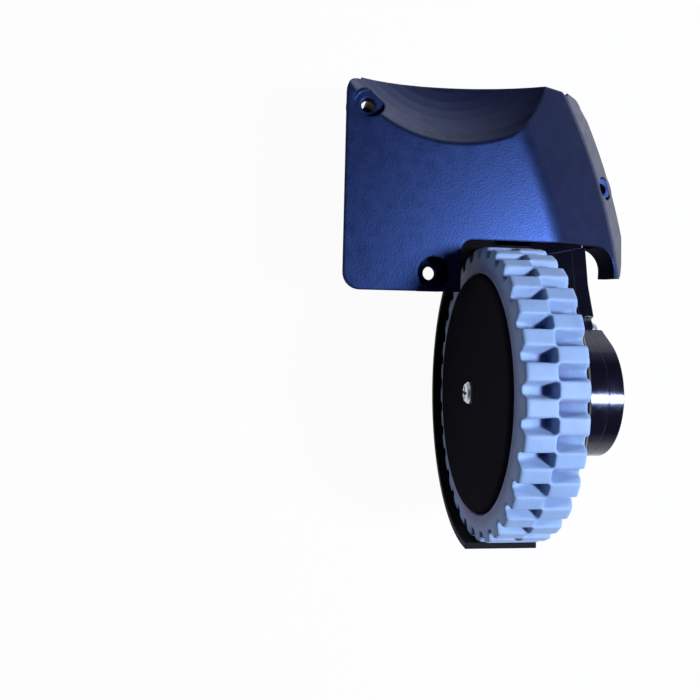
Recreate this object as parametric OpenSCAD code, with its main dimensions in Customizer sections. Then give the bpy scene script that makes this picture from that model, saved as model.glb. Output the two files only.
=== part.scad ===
// Drive wheel module of a robot vacuum, right-hand side, lying on its back.
// Millimetres. X points from the cover plate towards the wheel, Y from the hub
// cap towards the gearbox, Z to the robot's ground side. The origin is on the
// front fixing screw's axis, half way along its hole.
// Places inside the modules are measured from the centre of the wheel.

/* [Wheel] */
// Outer diameter of the tyre over the lugs
wheel_d = 66; // [62:0.5:67]
// Width of the tyre
tyre_w = 13.4; // [12:0.2:14.4]
// Number of lugs in each of the two rows
lug_count = 31; // [20:1:36]
// Depth of the grooves at the two faces of the tyre
groove_side_depth = 2.1; // [1.6:0.1:2.6]
// Depth of the grooves where the two rows meet
groove_mid_depth = 4.6; // [3.8:0.1:4.8]
// Share of the pitch that a groove takes at the tread
groove_share = 0.52; // [0.4:0.01:0.6]
// Share of a groove's width that its floor takes
groove_floor_share = 0.5; // [0.3:0.01:0.8]
// Thickness of the tyre, from the rim to the tread
tyre_t = 6; // [5.8:0.1:6.6]
// Height of the rib inside the tyre, which sits in a channel of the rim
key_h = 0.9; // [0.6:0.1:1.1]
// Width of the rib inside the tyre
key_w = 2.4; // [1.6:0.1:3]
// Wall of the rim's barrel
rim_wall = 1.8; // [1.4:0.1:2.4]
// Thickness of the hub cap's disc
hub_cap_t = 1.6; // [1.2:0.1:2]
// Height at which the hub cap stands proud of the tyre's face
hub_cap_proud = 0.65; // [0.3:0.05:1]
// Ribs on the inner side of the rim
rim_rib_count = 8; // [5:1:12]

/* [Axle and bearings] */
// Radius of the steel axle
axle_r = 2.5; // [2.3:0.1:2.7]
// Radius of the axle's end in the cover's bearing
axle_end_r = 2; // [1.8:0.1:2]
// Distance from the axle's centre to its drive flat
axle_flat = 2; // [1.7:0.1:2]
// Outer radius of the bearing beside the wheel
bearing_in_r = 5.5; // [5.2:0.1:6]
// Width of the bearing beside the wheel
bearing_in_w = 4; // [3:0.1:4.4]
// Outer radius of the bearing in the cover
bearing_out_r = 4.5; // [4.2:0.1:5]
// Width of the bearing in the cover
bearing_out_w = 3; // [2.5:0.1:3.2]

/* [Gear train] */
// Module of all the gears
gear_module = 0.6; // [0.58:0.01:0.61]
// Teeth of the motor pinion
pinion_teeth = 10; // [10:1:10]
// Teeth of the idler next to the motor
idler_teeth = 28; // [28:1:28]
// Teeth of the large wheel of the first reduction gear
gear_one_teeth = 36; // [36:1:36]
// Teeth of the large wheel of the second reduction gear
gear_two_teeth = 36; // [36:1:36]
// Teeth of the small wheels of both reduction gears
small_teeth = 12; // [12:1:12]
// Teeth of the gear on the axle
output_teeth = 36; // [36:1:36]
// Radius of the fixed pins on which the gears run
gear_pin_r = 1; // [0.8:0.1:1.2]
// Face width of the gears
gear_face = 2.4; // [2:0.1:2.6]
// Radial clearance of a gear on its pin
pin_clearance = 0.05; // [0.02:0.01:0.1]

/* [Gear case] */
// Radius of the drum round the axle
drum_r = 14.2; // [13.6:0.1:14.6]
// Wall of the gear case
case_wall = 1.4; // [1.2:0.1:1.6]
// Outer radius of the gear case round the first reduction gear
case_knee_r = 13.2; // [13.1:0.1:13.6]
// Outer radius of the gear case round the idler
case_idler_r = 10.8; // [10.7:0.1:11]
// Outer radius of the gear case round the motor shaft
case_heel_r = 8.5; // [8:0.1:9]
// Radius of the flange behind the wheel
flange_r = 24.5; // [22:0.1:25]
// Place of the joint face between case and cover, along the axle
case_split = 18.9; // [18.6:0.1:19.2]
// Place of the outer face of the cover, along the axle
case_end = 22.5; // [22.4:0.1:22.6]

/* [Motor and swing arm] */
// Distance of the swing axis behind the axle
pivot_back = 50.5; // [50:0.1:51]
// Distance of the swing axis below the axle
pivot_drop = 22; // [21.5:0.1:22.5]
// Travel of the swing arm, in degrees
swing_travel = 30; // [20:1:34]
// Radius of the motor can
motor_r = 12.2; // [11.6:0.1:12.4]
// Length of the motor can
motor_len = 28; // [24:0.5:28]
// Radius of the motor shaft
motor_shaft_r = 1; // [0.8:0.1:1.2]
// Wall of the motor cover
motor_cover_wall = 1; // [0.8:0.1:1.2]
// Radius of the trunnions on which the arm swings
trunnion_r = 3; // [2.6:0.1:3.4]
// Radial clearance of a trunnion in its bush
trunnion_clearance = 0.06; // [0.03:0.01:0.1]

/* [Wheel arch] */
// Gap between the tread and the wheel arch
arch_gap = 1; // [0.8:0.1:1.4]
// Wall of the wheel arch
arch_wall = 1.4; // [1.2:0.1:1.6]
// Angle of the arch's front edge above the axle
arch_front = 6; // [0:1:10]
// Angle of the arch's rear edge below the axle
arch_rear = 14; // [8:1:16]

/* [Cover plate] */
// Height of the flat of the plate below the axle's centre
plate_drop = 3.9; // [3.6:0.1:4.4]
// Wall of the cover plate
plate_wall = 2; // [1.8:0.1:2.4]
// Distance from the wheel's mid-plane to the plate's hub-side edge
plate_hub_edge = 36.7; // [35.8:0.1:38]
// Distance from the axle to the front edge of the ear
ear_front = 22.9; // [21.8:0.1:23.2]
// Gap between the face of the tyre and the ear
ear_gap = 2.7; // [2.2:0.1:3.2]
// Gap between the tread and the rear edge of the wheel cut-out
cutout_gap = 2; // [1.8:0.1:2.6]
// Distance from the axle to the plate's rear edge
plate_rear = 72.7; // [72:0.1:74]
// Radius of the plate's rear edge
rear_edge_r = 250; // [200:5:400]
// Distance from the wheel's mid-plane to the robot's centre
robot_half_track = 109.5; // [108:0.5:111]
// Distance from the wheel's mid-plane to the bend of the plate, abreast of the robot's centre
bend_side = 18.5; // [18:0.1:19]
// Distance from the wheel's mid-plane to the ridge above the side flange, likewise
ridge_side = 35.3; // [35:0.1:36]
// Distance from the wheel's mid-plane to the side flange's free edge, likewise
edge_side = 42.15; // [41.5:0.05:43]
// Drop from the flat of the plate to the ridge
ridge_drop = 7.65; // [7:0.05:8.4]
// Drop from the flat of the plate to the flange's free edge
flange_drop = 16.2; // [15.6:0.1:17]

/* [Fixing screws] */
// Radius of the three fixing holes
fixing_r = 1.6; // [1.5:0.05:1.8]
// Radius of the front and rear counterbores for the fixing screws' heads
counterbore_r = 3.65; // [3.4:0.05:3.9]
// Radius of the side counterbore
side_counterbore_r = 3; // [2.8:0.05:3.2]
// Depth of the counterbores below the flat of the plate
counterbore_depth = 4.5; // [4:0.1:5]
// Length of the fixing holes below their seats
fixing_len = 2.5; // [2:0.1:3]
// Wall of the fixing bosses round their counterbores
boss_wall = 1.3; // [1.2:0.05:1.5]
// Front fixing screw, distance behind the axle
front_screw_back = 27.2; // [27:0.1:27.6]
// Front fixing screw, distance from the wheel's mid-plane
front_screw_side = 15.8; // [15.4:0.1:17]
// Rear fixing screw, distance behind the axle
rear_screw_back = 65.1; // [64.8:0.1:65.4]
// Rear fixing screw, distance from the wheel's mid-plane
rear_screw_side = 31.4; // [31:0.1:31.6]
// Side fixing screw, distance behind the axle
side_screw_back = 49.9; // [49:0.1:51]
// Side fixing screw, distance from the wheel's mid-plane
side_screw_side = 29.8; // [29.7:0.1:30]
// Drop of the side screw's seat below the front screw's seat
side_seat_drop = 10; // [9.6:0.1:10.4]

/* [Suspension bracket] */
// Height of the bracket's feet below the axle
feet_drop = 35.5; // [35.5:0.1:36.5]
// Thickness of the bracket's cheeks
cheek_t = 2.2; // [2:0.1:2.4]
// Outer radius of the swing bushes
bush_r = 4.4; // [4.2:0.1:4.8]
// Wire radius of the torsion spring
spring_wire_r = 0.6; // [0.5:0.05:0.7]
// Turns of the torsion spring
spring_turns = 2.5; // [2.5:1:2.5]
// Radius of the torsion spring at the wire's centre
spring_r = 10; // [9.6:0.1:10.4]
// Angle of the drop switch's lever at full travel of the arm
lever_travel = 12; // [8:1:14]

/* [Hidden] */
$fn = 64;
tiny = 0.01;
gap = 0.3;
fit_gap = 0.1;
wheel_r = wheel_d / 2;
rim_r = wheel_r - tyre_t;
tyre_half = tyre_w / 2;
arch_r = wheel_r + arch_gap;
cutout_back = wheel_r + cutout_gap;
ear_inner = tyre_half + ear_gap;
bend_r = robot_half_track + bend_side;
ridge_r = robot_half_track + ridge_side;
flange_edge_r = robot_half_track + edge_side;
pivot = [-pivot_back, -pivot_drop];
seat_drop = plate_drop + counterbore_depth;
pitch_angle = 360 / lug_count;

// Stations along the axle
web_in = tyre_half + 0.5;
flange_in = web_in + arch_wall;
flange_out = flange_in + 2.2;
layer_gap = 0.4;
layer_a = flange_in + case_wall;
layer_b = layer_a + gear_face + layer_gap;
layer_c = layer_b + gear_face + layer_gap;
layer_end = layer_c + gear_face;
bearing_out_y = case_end - case_wall - bearing_out_w;
bearing_in_y = flange_in - 1.6 - bearing_in_w;
hub_face = -tyre_half - hub_cap_proud;

// Places of the gears, seen along the axle
function pitch_r(teeth) = gear_module * teeth / 2;
function on_ray(from, angle, length) = from + length * [cos(angle), sin(angle)];
function circle_meet(a, ra, b, rb) =
    let (d = norm(b - a), x = (d * d + ra * ra - rb * rb) / (2 * d),
         u = (b - a) / d, h = sqrt(ra * ra - x * x))
    a + x * u + h * [u[1], -u[0]];
gear_two_at = on_ray([0, 0], 240, pitch_r(output_teeth + small_teeth));
gear_one_at = on_ray(gear_two_at, 203, pitch_r(gear_two_teeth + small_teeth));
idler_at = circle_meet(pivot, pitch_r(pinion_teeth + idler_teeth),
                       gear_one_at, pitch_r(gear_one_teeth + idler_teeth));

// Moves what is drawn round the wheel's centre to the part's own origin
module from_axle() {
    translate([front_screw_back, front_screw_side, seat_drop + fixing_len / 2]) children();
}

// Extrudes an outline drawn in X and Z from y0 to y1
module across(y0, y1) {
    translate([0, y1, 0]) rotate([90, 0, 0]) linear_extrude(y1 - y0) children();
}

// Turns a profile drawn as [radius, y] about an axis along Y
module turned(at = [0, 0]) {
    translate([at[0], 0, at[1]]) rotate([-90, 0, 0]) rotate_extrude() children();
}

// A round bar or bore along Y
module bar(y0, y1, r, at = [0, 0]) {
    translate([at[0], y0, at[1]]) rotate([-90, 0, 0]) cylinder(r = r, h = y1 - y0);
}

// A round bar or bore along Z
module post(at, z0, z1, r) {
    translate([at[0], at[1], z0]) cylinder(r = r, h = z1 - z0);
}

// A box between two corners
module block(low, high) {
    translate(low) cube(high - low);
}

// Points of an arc, for rounded corners of profiles
function arc(c, r, a0, a1, n = 6) =
    [for (i = [0 : n]) c + r * [cos(a0 + (a1 - a0) * i / n), sin(a0 + (a1 - a0) * i / n)]];

// Outline of a strap between two discs, with its tangent sides
module strap(a, ra, b, rb) {
    d = norm(b - a);
    turn = atan2(b[1] - a[1], b[0] - a[0]);
    lean = acos((ra - rb) / d);
    translate(a) circle(ra);
    translate(b) circle(rb);
    polygon([on_ray(a, turn + lean, ra - tiny), on_ray(a, turn - lean, ra - tiny),
             on_ray(b, turn - lean, rb - tiny), on_ray(b, turn + lean, rb - tiny)]);
}

// A screw with a pan head and a cross recess, along +Z from the head's seat
module pan_screw(r, len, head_r, head_h) {
    slot_w = head_r * 0.28;
    slot_l = head_r * 1.2;
    difference() {
        union() {
            translate([0, 0, -len]) cylinder(r = r, h = len + tiny);
            rotate_extrude() polygon(concat([[0, 0], [head_r, 0], [head_r, head_h * 0.45]],
                [[head_r * 0.8, head_h * 0.85], [head_r * 0.5, head_h], [0, head_h]]));
        }
        for (a = [0, 90]) rotate(a)
            translate([-slot_l / 2, -slot_w / 2, head_h * 0.4]) cube([slot_l, slot_w, head_h]);
    }
}
module screw_out(at, seat, r, len, head_r, head_h) {
    translate([at[0], seat, at[1]]) rotate([-90, 0, 0]) pan_screw(r, len, head_r, head_h);
}

// Wheel

// One half of the tyre, with its row of grooves turned by a share of the pitch.
// A groove is a trough whose floor rises from the middle to the tyre's face.
face_lean = 0.45;
tread_edge_r = 0.6;
tread_phase = 0.22;
module tyre_row(phase) {
    half = groove_share * PI * wheel_r / lug_count;
    floor_half = half * groove_floor_share;
    reach = tyre_half + 1;
    rise = (groove_mid_depth - groove_side_depth) * reach / tyre_half;
    edge = [wheel_r - tread_edge_r, tyre_half - face_lean - tread_edge_r];
    difference() {
        turned() polygon(concat([[rim_r - key_h, 0], [wheel_r, 0]], arc(edge, tread_edge_r, 0, 90, 4),
            [[rim_r + 0.5, tyre_half], [rim_r, tyre_half - 0.5], [rim_r, key_w / 2],
             [rim_r - key_h, key_w / 2]]));
        for (i = [0 : lug_count - 1])
            rotate([0, (i + phase) * pitch_angle, 0]) translate([0, -tiny, wheel_r]) rotate([-90, 0, 0])
                linear_extrude(reach, scale = [1, 1 - rise / groove_mid_depth], slices = 1, $fn = 4)
                    polygon([[-half, 0], [-floor_half, groove_mid_depth], [floor_half, groove_mid_depth],
                             [half, 0], [half, -1], [-half, -1]]);
    }
}
module tyre() {
    color("#7C93C9") from_axle() {
        tyre_row(tread_phase + 0.5);
        mirror([0, 1, 0]) tyre_row(tread_phase);
    }
}

rim_in = rim_r - rim_wall;
rim_out_y = hub_face + hub_cap_t;
web_y = rim_out_y + 1.2;
rim_hub_end = bearing_in_y - 0.6;
module d_bore(y0, y1, r, flat) {
    intersection() {
        bar(y0, y1, r);
        block([-r - 1, y0 - 1, -r - 1], [r + 1, y1 + 1, flat]);
    }
}
module wheel_rim() {
    color("#17171A") from_axle() difference() {
        union() {
            turned() difference() {
                union() {
                    translate([rim_in, rim_out_y]) square([rim_wall, tyre_half - 0.5 - rim_out_y]);
                    translate([rim_in - key_h, -key_w / 2 - 1]) square([key_h + tiny, key_w + 2]);
                    translate([0, web_y]) square([rim_in + tiny, 1.8]);
                    translate([0, rim_out_y]) square([axle_r + 2.6, rim_hub_end - rim_out_y]);
                }
                translate([rim_r - key_h - fit_gap, -key_w / 2 - fit_gap])
                    square([key_h + 1, key_w + 2 * fit_gap]);
            }
            for (i = [0 : rim_rib_count - 1]) rotate([0, i * 360 / rim_rib_count, 0])
                block([axle_r + 2, web_y + 1, -0.6], [rim_in + 0.3, web_y + 4, 0.6]);
        }
        d_bore(rim_out_y - 1, rim_hub_end + 1, axle_r, axle_flat);
    }
}

cap_r = rim_r - 0.3;
hub_screw_r = 1.25;
module hub_cap() {
    color("#0F0E12") from_axle() difference() {
        turned() polygon([[0, hub_face + 0.25], [3.4, hub_face + 0.25], [3.9, hub_face],
            [cap_r - 0.5, hub_face], [cap_r, hub_face + 0.5], [cap_r, hub_face + hub_cap_t],
            [rim_in - fit_gap, hub_face + hub_cap_t], [rim_in - fit_gap, web_y - 0.1],
            [rim_in - 1.3, web_y - 0.1], [rim_in - 1.3, hub_face + hub_cap_t],
            [0, hub_face + hub_cap_t]]);
        bar(hub_face - 1, hub_face + hub_cap_t + 1, hub_screw_r + fit_gap);
    }
}
module hub_screw() {
    color("#C9CCD2") from_axle() mirror([0, 1, 0])
        screw_out([0, 0], -hub_face - 0.25, hub_screw_r, 8, 2.5, 1.5);
}

axle_in = rim_out_y + 0.1;
axle_out = bearing_out_y + bearing_out_w;
module axle() {
    color("#B9BCC2") from_axle() difference() {
        union() {
            d_bore(axle_in, rim_hub_end, axle_r, axle_flat);
            bar(rim_hub_end - tiny, layer_c, axle_r);
            d_bore(layer_c - tiny, layer_end, axle_r, axle_flat);
            bar(layer_end - tiny, axle_out, axle_end_r);
        }
        bar(axle_in - 1, axle_in + 8, hub_screw_r);
        turned() translate([axle_r - 0.3, clip_y]) square([1, clip_t]);
    }
}
clip_t = 0.5;
clip_y = layer_a + 0.2;
module axle_clip() {
    color("#9A9DA3") from_axle() difference() {
        bar(clip_y, clip_y + clip_t, axle_r + 1.6);
        bar(clip_y - 1, clip_y + clip_t + 1, axle_r - 0.3);
        block([-axle_r * 0.8, clip_y - 1, -axle_r * 2], [axle_r * 0.8, clip_y + clip_t + 1, 0]);
    }
}

// A ball bearing, with its two rings, its shields and the seat between them
module bearing(y, bore_r, r, w) {
    ring = (r - bore_r) * 0.28;
    color("#A9ACB3") from_axle() turned() difference() {
        translate([bore_r, y]) square([r - bore_r, w]);
        for (side = [y - 1, y + w - 0.2])
            translate([bore_r + ring, side]) square([r - bore_r - 2 * ring, 1.2]);
    }
}
module inner_bearing() {
    bearing(bearing_in_y, axle_r, bearing_in_r, bearing_in_w);
}
module outer_bearing() {
    bearing(bearing_out_y, axle_end_r, bearing_out_r, bearing_out_w);
}

// Gears

// Outline of a spur gear with straight flanks, its first tooth at an angle
module gear_outline(teeth, phase) {
    rp = pitch_r(teeth);
    ro = rp + 0.94 * gear_module;
    ri = rp - 1.2 * gear_module;
    step = 360 / teeth;
    polygon([for (i = [0 : teeth - 1], p = [[-0.33, ri], [-0.22, rp], [-0.11, ro],
                                            [0.11, ro], [0.22, rp], [0.33, ri]])
        on_ray([0, 0], phase + (i + p[0]) * step, p[1])]);
}
// Angle of a meshing gear's first tooth, when the other gear's is known
function mesh_phase(line, driver_teeth, driver_phase, teeth) =
    line + 180 - 180 / teeth - (line - driver_phase) * -driver_teeth / teeth;
function line_angle(a, b) = atan2(b[1] - a[1], b[0] - a[0]);
output_phase = 0;
two_small_phase = mesh_phase(line_angle([0, 0], gear_two_at), output_teeth, output_phase, small_teeth);
one_small_phase = mesh_phase(line_angle(gear_two_at, gear_one_at), gear_two_teeth, 0, small_teeth);
idler_phase = mesh_phase(line_angle(gear_one_at, idler_at), gear_one_teeth, 0, idler_teeth);
pinion_phase = mesh_phase(line_angle(idler_at, pivot), idler_teeth, idler_phase, pinion_teeth);

module wheel_of(at, y0, y1, teeth, phase) {
    translate([at[0], 0, at[1]]) across(y0, y1) gear_outline(teeth, phase);
}
module output_gear() {
    color("#E6E1D2") from_axle() difference() {
        wheel_of([0, 0], layer_c, layer_end, output_teeth, output_phase);
        d_bore(layer_c - 1, layer_end + 1, axle_r, axle_flat);
    }
}
module reduction_gear_two() {
    color("#E6E1D2") from_axle() difference() {
        union() {
            wheel_of(gear_two_at, layer_b, layer_b + gear_face, gear_two_teeth, 0);
            wheel_of(gear_two_at, layer_b + gear_face - tiny, layer_end, small_teeth, two_small_phase);
        }
        bar(layer_a, layer_end + 1, gear_pin_r + pin_clearance, gear_two_at);
    }
}
module reduction_gear_one() {
    color("#E6E1D2") from_axle() difference() {
        union() {
            wheel_of(gear_one_at, layer_a + 0.2, layer_a + gear_face, gear_one_teeth, 0);
            wheel_of(gear_one_at, layer_a + gear_face - tiny, layer_b + gear_face,
                     small_teeth, one_small_phase);
        }
        bar(layer_a - 1, layer_end + 1, gear_pin_r + pin_clearance, gear_one_at);
    }
}
module idler_gear() {
    color("#E6E1D2") from_axle() difference() {
        wheel_of(idler_at, layer_a + 0.2, layer_a + gear_face, idler_teeth, idler_phase);
        bar(layer_a - 1, layer_b, gear_pin_r + pin_clearance, idler_at);
    }
}
pin_socket = 0.8;
pin_boss_r = gear_pin_r + 0.9;
gear_places = [idler_at, gear_one_at, gear_two_at];
module gear_pins() {
    color("#B9BCC2") from_axle()
        for (at = gear_places) bar(layer_a - pin_socket, case_inside + pin_socket, gear_pin_r, at);
}

// Gear case

case_inside = layer_end + gap;
top_boss = [-14.8, -1];
boss_small_r = 3.2;
case_screw_places = [top_boss, [-33, -11.9], [-57, -22], [-31.6, -31.4], [6.8, -12.6]];
// The gear chain's outline, inside or outside of the case's wall
module gear_chain(wall) {
    strap([0, 0], drum_r - wall, gear_two_at, drum_r - wall);
    strap(gear_two_at, drum_r - wall, gear_one_at, case_knee_r - wall);
    strap(gear_one_at, case_knee_r - wall, idler_at, case_idler_r - wall);
    strap(idler_at, case_idler_r - wall, pivot, case_heel_r - wall);
    strap(gear_one_at, case_knee_r - wall, pivot, case_heel_r - wall);
}
module case_outline() {
    gear_chain(0);
    for (at = case_screw_places) translate(at) circle(boss_small_r);
}
case_screw_r = 1;
case_head_r = 1.9;
case_head_h = 2.2;
screw_seat = case_end - 2.3;
cover_face = case_end - 0.3;
module gear_case() {
    color("#121216") from_axle() difference() {
        union() {
            turned() polygon(concat([[0, flange_in], [flange_r, flange_in]],
                arc([flange_r - 2, flange_out - 2], 2, 0, 90, 6), [[0, flange_out]]));
            across(flange_in, case_split) case_outline();
            bar(flange_in, layer_a, cover_r, pivot);
            for (at = cover_screw_places) across(flange_in, layer_a) strap(pivot, 8, at, cover_ear_r);
            turned() polygon([[0, flange_in + tiny], [0, bearing_in_y], [bearing_in_r + 1.6, bearing_in_y],
                [bearing_in_r + 2, flange_in + tiny]]);
        }
        difference() {
            across(layer_a, case_split + 1) gear_chain(case_wall);
            for (at = case_screw_places) bar(layer_a - 1, case_split + 1, case_screw_r + 1.2, at);
            for (at = gear_places) bar(layer_a - 1, layer_a + 0.1, pin_boss_r, at);
            bar(layer_a - 1, layer_b - 0.1, pin_boss_r, gear_two_at);
        }
        bar(bearing_in_y - 1, bearing_in_y + bearing_in_w, bearing_in_r);
        bar(bearing_in_y, layer_a + 1, axle_r + 0.4);
        for (at = case_screw_places) bar(case_split - 8, case_split + 1, case_screw_r, at);
        for (at = gear_places) bar(layer_a - pin_socket, layer_b, gear_pin_r, at);
        bar(flange_in - 1, layer_a + 1, motor_nose_r + fit_gap, pivot);
        for (at = motor_screw_places) bar(flange_in - 1, layer_a + 1, motor_screw_r + fit_gap, at);
        for (at = cover_screw_places) bar(flange_in - 1, layer_a + 1, small_screw_r, at);
        for (at = arch_screw_places) bar(flange_in - 1, flange_out + 1, arch_screw_r + fit_gap, at);
    }
}
// Room for the slope of the plate, which the arm rests just under
module slope_room() {
    difference() {
        block([-60, 10, -16], [-cutout_back + 0.6, 30, 0]);
        translate([0, 0, -plate_wall / cos(slope_angle) - 0.4]) plate_body();
    }
}
module gear_case_cover() {
    color("#121216") from_axle() difference() {
        union() {
            across(case_split, cover_face) case_outline();
            bar(layer_a + gear_face + 0.1, cover_face, pin_boss_r, idler_at);
            bar(layer_b + gear_face + 0.1, cover_face, pin_boss_r, gear_one_at);
            turned() polygon(concat([[0, case_split], [drum_r, case_split]],
                arc([drum_r - 1.2, case_end - 1.2], 1.2, 0, 90, 6), [[0, case_end]]));
            bar(case_end - 2, cheek_out - 0.2, trunnion_r, pivot);
            bar(case_end - 2, case_end, trunnion_r + 0.5, pivot);
        }
        difference() {
            across(case_split - 1, case_inside) gear_chain(case_wall);
            bar(case_split - 2, case_inside + 1, pin_boss_r, idler_at);
            bar(case_split - 2, case_inside + 1, pin_boss_r, gear_one_at);
            for (at = case_screw_places) bar(case_split - 2, case_inside + 1, case_screw_r + 1.2, at);
        }
        bar(case_split - 1, bearing_out_y + bearing_out_w, bearing_out_r);
        for (at = gear_places) bar(layer_a, case_inside + pin_socket, gear_pin_r, at);
        for (at = case_screw_places) {
            bar(case_split - 1, case_end, case_screw_r + 0.15, at);
            // The uppermost screw stands free on its boss, the others lie in counterbores
            bar(screw_seat, case_end + 1, at == top_boss ? boss_small_r + fit_gap : case_head_r + 0.4, at);
        }
        slope_room();
    }
}
module case_screws() {
    color("#C9CCD2") from_axle() for (at = case_screw_places)
        screw_out(at, screw_seat, case_screw_r, 8, case_head_r, case_head_h);
}

// Wheel arch with the dust shield behind the wheel

arch_screw_r = 1;
arch_screw_places = [[-20.3, -1], [17.5, -12.5], [14, 14.5]];
module arch_sector(r) {
    rear = arch_rear - 180;
    polygon(concat([[0, 0]],
        [for (i = [0 : 12]) on_ray([0, 0], rear + (arch_front - rear) * i / 12, r * 1.2)]));
}
module wheel_arch() {
    color("#15151A") from_axle() difference() {
        union() {
            bar(web_in, flange_in, flange_r);
            intersection() {
                union() {
                    bar(web_in, flange_in, arch_r + arch_wall);
                    difference() {
                        bar(-tyre_half - 1.3, flange_in, arch_r + arch_wall);
                        bar(-tyre_half - 3, flange_in + 1, arch_r);
                    }
                }
                across(-tyre_half - 4, flange_in + 2) arch_sector(arch_r + arch_wall);
            }
        }
        bar(web_in - 1, flange_in + 1, bearing_in_r + 2.2);
        for (at = arch_screw_places) bar(web_in - 1, flange_in + 1, arch_screw_r, at);
    }
}
module arch_screws() {
    color("#AEB6C6") from_axle() for (at = arch_screw_places)
        screw_out(at, flange_out, arch_screw_r, flange_out - web_in - 0.2, 1.9, 1.3);
}

// Motor

motor_front = flange_in;
motor_back = motor_front - motor_len;
motor_nose_r = 3;
motor_screw_r = 1;
motor_screw_places = [pivot + [0, 5.4], pivot - [0, 5.4]];
module motor_can() {
    color("#9FA3AA") from_axle() difference() {
        turned(pivot) polygon([[0, motor_back], [motor_r, motor_back], [motor_r, motor_front - 1],
            [motor_r - 1, motor_front], [motor_nose_r, motor_front],
            [motor_nose_r, motor_front + 1], [0, motor_front + 1]]);
        bar(motor_back - 1, motor_front + 2, motor_shaft_r + pin_clearance, pivot);
        bar(motor_back - 1, motor_front - 3.5, motor_r - can_wall, pivot);
        for (at = motor_screw_places) bar(motor_front - 4, motor_front + 1, motor_screw_r, at);
    }
}
can_wall = 1;
armature_y = motor_back + 4;
armature_len = 18;
armature_r = 7.6;
module motor_magnets() {
    color("#55565C") from_axle() difference() {
        bar(armature_y, armature_y + armature_len, motor_r - can_wall, pivot);
        bar(armature_y - 1, armature_y + armature_len + 1, armature_r + 0.5, pivot);
        for (side = [-1, 1]) translate([pivot[0] - 2.5, armature_y - 1, pivot[1] + side * 10 - 5])
            cube([5, armature_len + 2, 10]);
    }
}
module motor_armature() {
    color("#8C5A3A") from_axle() difference() {
        bar(armature_y, armature_y + armature_len, armature_r, pivot);
        bar(armature_y - 1, armature_y + armature_len + 1, motor_shaft_r, pivot);
        for (a = [90, 210, 330]) translate([pivot[0], armature_y - 1, pivot[1]]) rotate([0, -a, 0])
            translate([armature_r - 3.2, 0, -0.8]) cube([4, armature_len + 2, 1.6]);
    }
}
end_cap_t = 2.2;
terminal_side = 6;
module motor_end_cap() {
    color("#E9E6DC") from_axle() difference() {
        turned(pivot) polygon([[0, motor_back - end_cap_t - 1], [motor_nose_r, motor_back - end_cap_t - 1],
            [motor_nose_r, motor_back - end_cap_t], [motor_r - 1.4, motor_back - end_cap_t],
            [motor_r - 0.8, motor_back], [motor_r - can_wall, motor_back],
            [motor_r - can_wall, motor_back + 1], [0, motor_back + 1]]);
        bar(motor_back - end_cap_t - 2, motor_back + 2, motor_shaft_r + pin_clearance, pivot);
        for (side = [-1, 1]) translate([pivot[0] + side * terminal_side, motor_back - end_cap_t - 1, pivot[1] - 1.1])
            cube([0.5, end_cap_t + 3, 2.2]);
    }
}
module motor_terminals() {
    color("#C6A15B") from_axle()
        for (side = [-1, 1]) translate([pivot[0] + side * terminal_side, motor_back - end_cap_t - 2, pivot[1] - 1.1])
            cube([0.5, end_cap_t + 3, 2.2]);
}
module motor_screws() {
    color("#C9CCD2") from_axle() for (at = motor_screw_places)
        screw_out(at, layer_a, motor_screw_r, layer_a - motor_front + 3, 1.8, 1);
}
module motor_shaft() {
    color("#B9BCC2") from_axle() bar(magnet_y, layer_a + gear_face + 0.4, motor_shaft_r, pivot);
}
module motor_pinion() {
    color("#C9A24B") from_axle() difference() {
        wheel_of(pivot, layer_a + 1.1, layer_a + gear_face, pinion_teeth, pinion_phase);
        bar(layer_a, layer_b + 1, motor_shaft_r, pivot);
    }
}
magnet_t = 1.8;
magnet_y = motor_back - end_cap_t - 1.6 - magnet_t;
module encoder_magnet() {
    color("#3A3A3E") from_axle() difference() {
        bar(magnet_y, magnet_y + magnet_t, 4, pivot);
        bar(magnet_y - 1, magnet_y + magnet_t + 1, motor_shaft_r, pivot);
    }
}
board_y = magnet_y - 1.6;
module encoder_board() {
    color("#1E6B3C") from_axle() difference() {
        bar(board_y, board_y + 1, 7.6, pivot);
        for (at = board_screw_places) bar(board_y - 1, board_y + 2, small_screw_r + fit_gap, at);
    }
}
module encoder_socket() {
    color("#E8E4D8") from_axle() difference() {
        block([pivot[0] - 3, board_y + 1, pivot[1] - 7], [pivot[0] + 3, board_y + 3.4, pivot[1] - 4.4]);
        block([pivot[0] - 2.4, board_y + 1.6, pivot[1] - 8], [pivot[0] + 2.4, board_y + 2.8, pivot[1] - 5.2]);
    }
}

// Motor cover, which is also the arm's second trunnion

cover_r = motor_r + fit_gap + motor_cover_wall;
neck_r = 8.7;
neck_y = motor_back - end_cap_t - 0.6;
collar_y = neck_y - 1;
cover_end = board_y - 1.4;
small_screw_r = 0.8;
board_screw_places = [on_ray(pivot, 45, 6.4), on_ray(pivot, 225, 6.4)];
cover_head_r = 1.5;
cover_screw_ring = cover_r + cover_head_r + 0.2;
cover_screw_places = [on_ray(pivot, 226, cover_screw_ring), on_ray(pivot, 345, cover_screw_ring)];
cover_ear_r = 1.9;
cheek_hub_in = -cover_end + 0.7;
cheek_hub_out = cheek_hub_in + cheek_t;
tab_z = -15.5;
tab_t = 2;
switch_size = [12.8, 5.8, 6.5];
switch_low = [-37.2, -cheek_hub_in, tab_z - tab_t - 7];
lever_hinge = [switch_low[0] + 12, switch_low[2] - 0.5];
tab_low = [pivot[0] + spring_r + spring_wire_r + 0.05, collar_y - 2.3, pivot[1] - 6];
tab_high = [pivot[0] + 15.3, collar_y + 2, lever_hinge[1] - 1.1];
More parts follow.
